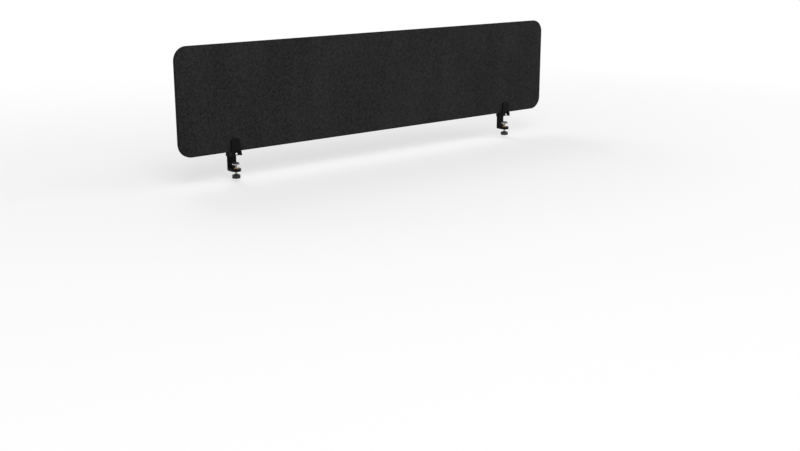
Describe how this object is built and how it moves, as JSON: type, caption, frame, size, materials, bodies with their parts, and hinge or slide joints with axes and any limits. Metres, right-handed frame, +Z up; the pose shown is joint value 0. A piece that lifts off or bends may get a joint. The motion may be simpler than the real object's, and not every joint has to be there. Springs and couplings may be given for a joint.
{
  "type": "desk privacy panel",
  "caption": "Long pressed-felt desk screen with rounded corners, held along its lower edge by tapered black clamp-on brackets with a bright jaw screw.",
  "frame": {"origin": "on the desktop's upper rear edge, halfway along the panel", "axes": "+X along the panel to the user's right, -Y towards the user, +Z up; the desktop fills y < 0 and z < 0"},
  "size_m": [1.8, 0.048, 0.4812],
  "materials": {
    "felt": "charcoal pressed polyester felt, heathered, matt",
    "black_casting": "satin black powder coat on a die casting",
    "rubber": "matt black rubber",
    "chrome_screw": "bright plated button-head screw",
    "zinc_steel": "zinc-plated steel",
    "brass": "plain turned brass",
    "black_plastic": "fine-textured moulded black plastic"
  },
  "bodies": {
    "clamp_frames": {"left_clamp_frame": "black_casting", "left_rear_jaw_pad": "rubber", "left_seat_pad": "rubber", "left_jaw_insert": "brass", "left_threaded_bush": "brass", "left_guide_pin_a": "zinc_steel", "left_guide_pin_b": "zinc_steel", "right_clamp_frame": "black_casting", "right_rear_jaw_pad": "rubber", "right_seat_pad": "rubber", "right_jaw_insert": "brass", "right_threaded_bush": "brass", "right_guide_pin_a": "zinc_steel", "right_guide_pin_b": "zinc_steel"},
    "panel": {"felt_panel": "felt"},
    "left_jaw": {"left_front_jaw": "black_casting", "left_front_jaw_pad": "rubber"},
    "left_jaw_bolt": {"left_jaw_screw": "chrome_screw"},
    "left_foot": {"left_pressure_foot": "zinc_steel", "left_foot_pad": "rubber"},
    "left_spindle": {"left_clamp_screw": "zinc_steel", "left_foot_clip": "zinc_steel", "left_clamp_knob": "black_plastic"},
    "right_jaw": {"right_front_jaw": "black_casting", "right_front_jaw_pad": "rubber"},
    "right_jaw_bolt": {"right_jaw_screw": "chrome_screw"},
    "right_foot": {"right_pressure_foot": "zinc_steel", "right_foot_pad": "rubber"},
    "right_spindle": {"right_clamp_screw": "zinc_steel", "right_foot_clip": "zinc_steel", "right_clamp_knob": "black_plastic"}
  },
  "joints": [
    {"name": "panel_lift", "type": "slide", "parent": "clamp_frames", "child": "panel", "axis": [0, 0, 1], "range_m": [0, 0.06]},
    {"name": "left_jaw_slide", "type": "slide", "parent": "clamp_frames", "child": "left_jaw", "axis": [0, -1, 0], "range_m": [0, 0.004]},
    {"name": "left_jaw_screw_turn", "type": "hinge", "parent": "left_jaw", "child": "left_jaw_bolt", "pos_m": [-0.676, -0.028, 0.0078], "axis": [0, -1, 0], "range_deg": [0, 1800]},
    {"name": "left_clamp_travel", "type": "slide", "parent": "clamp_frames", "child": "left_foot", "axis": [0, 0, 1], "range_m": [-0.011, 0.01]},
    {"name": "left_clamp_screw_turn", "type": "hinge", "parent": "left_foot", "child": "left_spindle", "pos_m": [-0.676, -0.025, -0.05], "axis": [0, 0, 1], "range_deg": [-3168, 2880]},
    {"name": "right_jaw_slide", "type": "slide", "parent": "clamp_frames", "child": "right_jaw", "axis": [0, -1, 0], "range_m": [0, 0.004]},
    {"name": "right_jaw_screw_turn", "type": "hinge", "parent": "right_jaw", "child": "right_jaw_bolt", "pos_m": [0.684, -0.028, 0.0078], "axis": [0, -1, 0], "range_deg": [0, 1800]},
    {"name": "right_clamp_travel", "type": "slide", "parent": "clamp_frames", "child": "right_foot", "axis": [0, 0, 1], "range_m": [-0.011, 0.01]},
    {"name": "right_clamp_screw_turn", "type": "hinge", "parent": "right_foot", "child": "right_spindle", "pos_m": [0.684, -0.025, -0.05], "axis": [0, 0, 1], "range_deg": [-3168, 2880]}
  ],
  "couplings": [
    {"joint": "left_jaw_screw_turn", "follows": "left_jaw_slide", "rad_per_m": 7854},
    {"joint": "left_clamp_screw_turn", "follows": "left_clamp_travel", "rad_per_m": 5026.5},
    {"joint": "right_jaw_screw_turn", "follows": "right_jaw_slide", "rad_per_m": 7854},
    {"joint": "right_clamp_screw_turn", "follows": "right_clamp_travel", "rad_per_m": 5026.5}
  ]
}
